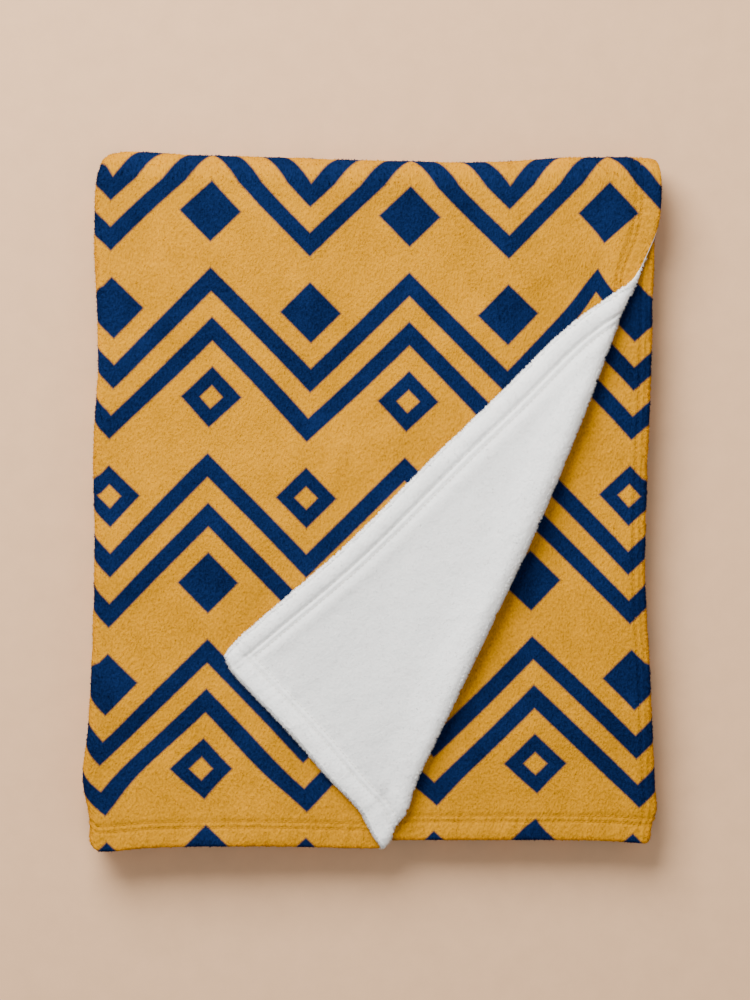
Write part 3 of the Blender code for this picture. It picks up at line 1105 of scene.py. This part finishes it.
def printed_fleece():
    """Yellow fleece printed navy, brushed so that the nap mottles it."""
    material, tree, shader = new_material("printed_fleece")
    flat, nap = cloth_vector(tree, PRINT_NAP_STRETCH)
    kinds = (GRAIN, PRINT_TUFTS, PRINT_BRUSHED)
    noises = [noise(tree, nap, kind) for kind in kinds]
    apart = tree.nodes.new("ShaderNodeSeparateXYZ")
    tree.links.new(flat, apart.inputs[0])
    stray_u = (noise(tree, flat, INK_ACROSS) - 0.5) * INK_STRAY
    stray_v = (noise(tree, nap, INK_ALONG) - 0.5) * INK_STRAY
    inked = ink(Wire(tree, apart.outputs[0]) + stray_u, Wire(tree, apart.outputs[1]) + stray_v)
    tone = limited(weighed([n - 0.5 for n in noises], PRINT_TONE) + MEAN_TONE)
    tone = limited(tone + (noise(tree, flat, PRINT_BROAD) - 0.5) * PRINT_BROAD_TONE)
    yellow = toned(tree, tone, YELLOW, YELLOW_TONES)
    navy = toned(tree, tone, NAVY, NAVY_TONES)
    folds, line = hem_puckers_and_groove_shade(tree, flat)
    # Painted shade: the print is darkened along the stitched grooves
    painted_groove_shade = mixed(tree, inked, shade(YELLOW, GROOVE_PAINTED_SHADE), shade(NAVY, GROOVE_PAINTED_SHADE))
    colour = mixed(tree, line * GROOVE_PAINTED_SHADE, mixed(tree, inked, yellow, navy), painted_groove_shade)
    finish(tree, shader, colour, MATT, PRINT_GLOSS)
    raise_nap(tree, shader, weighed([*noises, folds], PRINT_NAP_HEIGHTS), PRINT_NAP_DEPTH)
    return material


def white_fleece():
    """The unprinted reverse: a denser, fluffier white pile."""
    material, tree, shader = new_material("white_fleece")
    flat, nap = cloth_vector(tree, WHITE_NAP_STRETCH)
    grain = noise(tree, nap, GRAIN)
    tufts = noise(tree, flat, WHITE_TUFTS)
    patches = noise(tree, nap, WHITE_PATCHES)
    noises = [grain, tufts, patches]
    tone = limited(weighed([n - 0.5 for n in noises], WHITE_TONE) + MEAN_TONE)
    colour = toned(tree, tone, WHITE, WHITE_TONES)
    folds, line = hem_puckers_and_groove_shade(tree, flat)
    # Painted shade: the white is darkened along the stitched grooves
    colour = mixed(tree, line * GROOVE_PAINTED_SHADE, colour, shade(WHITE, GROOVE_PAINTED_SHADE))
    # Painted shade on the turned corner's flat middle and in the pinch at its foot, mottled by the
    # patches
    painted_shade = tree.nodes.new("ShaderNodeAttribute")
    painted_shade.attribute_name = "middle"
    painted_shade = Wire(tree, painted_shade.outputs["Fac"]) * (patches * PAINTED_SHADE_PATCHES[0] + PAINTED_SHADE_PATCHES[1])
    colour = mixed(tree, painted_shade * MIDDLE_PAINTED_SHADE, colour, shade(WHITE, PAINTED_SHADE_DARKEST))
    finish(tree, shader, colour, MATT, WHITE_GLOSS)
    raise_nap(tree, shader, weighed([*noises, folds], WHITE_NAP_HEIGHTS), WHITE_NAP_DEPTH)
    return material


def plain(name, colour, roughness):
    """One colour, lightly clouded, for thread and floor."""
    material, tree, shader = new_material(name)
    place = tree.nodes.new("ShaderNodeNewGeometry")
    cloud = noise(tree, place.outputs["Position"], CLOUDS)
    finish(tree, shader, toned(tree, cloud, colour, PLAIN_TONES), roughness, PLAIN_GLOSS)
    return material


# Scene

def spread(rng, count, u_range, v_range):
    """Places at random over a stretch of the flat cloth."""
    return np.stack([rng.uniform(*u_range, count), rng.uniform(*v_range, count)])


def printed_edges(rng):
    """Where the printed pile stands out from folds and hem edges."""
    left_fold = (SECTION[1].start, SECTION[2].start)
    right_fold = (SECTION[3].start, SECTION[4].start)
    back_fold = (WAY[1].start, WAY[2].start)
    front_fold = (WAY[3].start, WAY[4].start)
    lower_side = (TUCKED_START - LOWER_SIDE, TUCKED_START)
    places = np.concatenate([
        spread(rng, LEFT_FOLD_CLUMPS, left_fold, TOP_V),
        spread(rng, BACK_FOLD_CLUMPS, TOP_U, back_fold),
        spread(rng, BACK_CORNER_CLUMPS, left_fold, back_fold),
        spread(rng, SIDE_HEM_CLUMPS, HEM_EDGE, TOP_V),
        spread(rng, FRONT_HEM_CLUMPS, TOP_U, HEM_EDGE),
        spread(rng, LOWER_SIDE_CLUMPS, lower_side, (0.0, LOWER_SIDE_ALONG)),
        spread(rng, LOWER_HEM_CLUMPS, LOWER_U, HEM_EDGE),
        spread(rng, RIGHT_FOLD_CLUMPS, right_fold, (0.0, FLAT_LENGTH)),
        spread(rng, FRONT_FOLD_CLUMPS, (0.0, FLAT_WIDTH), front_fold),
    ], axis=1)
    return places[:, is_flap(*places) <= 0.5]


def white_edges(rng):
    """Where the white pile stands out from the turned corner's hem edges and its roll."""
    hems = np.concatenate([
        spread(rng, FLAP_SIDE_CLUMPS, HEM_EDGE, FLAP_V),
        spread(rng, FLAP_FRONT_CLUMPS, FLAP_U, HEM_EDGE),
    ], axis=1)
    roll = spread(rng, ROLL_CLUMPS, FLAP_U, FLAP_V)
    half_turns = past_fold(*roll) / roll_radius(down_fold(*roll)) / np.pi
    on_roll = (half_turns > ROLL_FUZZ[0]) & (half_turns < ROLL_FUZZ[1])
    roll = roll[:, on_roll & (down_fold(*roll) > 0.0)]
    return np.concatenate([hems[:, is_flap(*hems) > 0.5], roll], axis=1)


def pile_pieces(rng, printed, white):
    """Tufts over what shows: the top layer, the layer under its corner, and the folds."""
    top = spread(rng, TOP_CLUMPS, TOP_U, TOP_V)
    top = top[:, past_fold(*top) < PRINT_PILE_ENDS * np.pi * ROLL_AT_MIDDLE]
    made = [fibres("nap_top", top, 1, NAP, printed, rng)]
    lower = spread(rng, LOWER_CLUMPS, LOWER_U, LOWER_V)
    made.append(fibres("nap_under", lower, 1, NAP, printed, rng))
    made.append(fibres("fuzz_print", printed_edges(rng), 1, TRIM, printed, rng))
    flap = spread(rng, FLAP_CLUMPS, FLAP_U, FLAP_V)
    flap = flap[:, past_fold(*flap) > WHITE_PILE_STARTS * np.pi * ROLL_AT_FOOT]
    made.append(fibres("nap_white", flap, -1, WHITE_NAP, white, rng))
    made.append(fibres("fuzz_white", white_edges(rng), -1, FUZZ, white, rng))
    return made


def place_lamp(lamp):
    """A round lamp that faces the pack's middle."""
    disk = bpy.data.lights.new(lamp.name, "AREA")
    disk.shape = "DISK"
    disk.size = lamp.size
    disk.energy = lamp.watts
    disk.color = lamp.colour
    item = put_in_scene(lamp.name, disk)
    item.location = lamp.place
    item.rotation_euler = (-Vector(lamp.place)).to_track_quat("-Z", "Y").to_euler()


def set_floor():
    mesh = bpy.data.meshes.new("floor")
    corners = [(x * FLOOR_HALF, y * FLOOR_HALF, 0) for x, y in ((-1, -1), (1, -1), (1, 1), (-1, 1))]
    mesh.from_pydata(corners, [], [(0, 1, 2, 3)])
    mesh.materials.append(plain("pale_floor", FLOOR, FLOOR_ROUGHNESS))
    floor = put_in_scene("floor", mesh)
    floor.location.z = -FLOOR_DROP


def set_sky():
    world = bpy.data.worlds.new("studio")
    world.use_nodes = True
    background = world.node_tree.nodes["Background"]
    background.inputs["Color"].default_value = (1.0, 1.0, 1.0, 1.0)
    background.inputs["Strength"].default_value = SKY
    bpy.context.scene.world = world


def set_camera(top_height, shift):
    """A camera straight above, framed as the photograph is."""
    lens = bpy.data.cameras.new("camera")
    lens.sensor_fit = "VERTICAL"
    lens.sensor_height = SENSOR
    lens.lens = SENSOR * CAMERA_ABOVE / (PHOTO_HEIGHT * METRES_PER_PIXEL)
    camera = put_in_scene("camera", lens)
    camera.location = (CAMERA_X + shift[0], CAMERA_Y + shift[1], top_height + CAMERA_ABOVE)
    bpy.context.scene.camera = camera


def main():
    rng = np.random.default_rng(SEED)
    printed, white = printed_fleece(), white_fleece()
    cloth = cloth_piece([printed, white])
    thread = plain("thread", THREAD, THREAD_ROUGHNESS)
    seams = [
        stitches("stitches_print", 1, printed, rng),
        stitches("stitches_white", -1, thread, rng),
    ]
    pile = pile_pieces(rng, printed, white)
    low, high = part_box("throw")
    points = np.array([vert.co for vert in cloth.data.vertices])
    centre = (points.min(axis=0) + points.max(axis=0)) / 2
    shift = [(low[i] + high[i]) / 2 - centre[i] for i in (0, 1)]
    for piece in (cloth, *seams, *pile):
        piece.data.transform(Matrix.Translation((*shift, 0.0)))
        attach(piece, "root")
    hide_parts("throw")
    set_floor()
    for lamp in LAMPS:
        place_lamp(lamp)
    set_sky()
    set_camera(LAYERS * PITCH, shift)


main()
